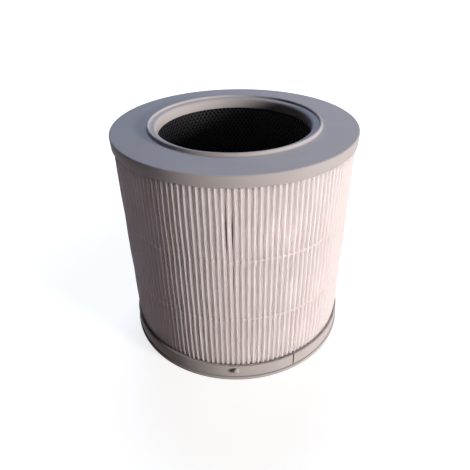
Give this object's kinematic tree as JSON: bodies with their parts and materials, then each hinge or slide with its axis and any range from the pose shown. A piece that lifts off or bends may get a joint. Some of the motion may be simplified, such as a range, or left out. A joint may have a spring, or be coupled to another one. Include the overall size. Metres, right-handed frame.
{
  "type": "air purifier filter",
  "caption": "Round air purifier filter: pleated paper ring with a carbon sleeve inside, between two moulded caps, open at the top.",
  "frame": {"origin": "centre of the face that the filter stands on", "axes": "+Z along the filter's axis, up towards the open end; the peg on the base band faces -Y"},
  "size_m": [0.2018, 0.2037, 0.1963],
  "materials": {
    "cap_plastic": "fine satin moulding, cool grey",
    "band_plastic": "satin moulding, warm grey",
    "filter_paper": "pleated non-woven filter paper, dull white",
    "hot_melt_glue": "set hot-melt glue, waxy white",
    "potting_adhesive": "set adhesive, ivory",
    "carbon_layer": "carbon-filled non-woven, black",
    "net_plastic": "extruded net, black"
  },
  "bodies": {
    "root": {"top_cap": "cap_plastic", "bottom_cap": "cap_plastic", "base_band": "band_plastic", "pleated_media": "filter_paper", "glue_bead_upper": "hot_melt_glue", "glue_bead_lower": "hot_melt_glue", "potting_top": "potting_adhesive", "potting_bottom": "potting_adhesive", "carbon_sleeve": "carbon_layer", "inner_net": "net_plastic"}
  },
  "joints": []
}
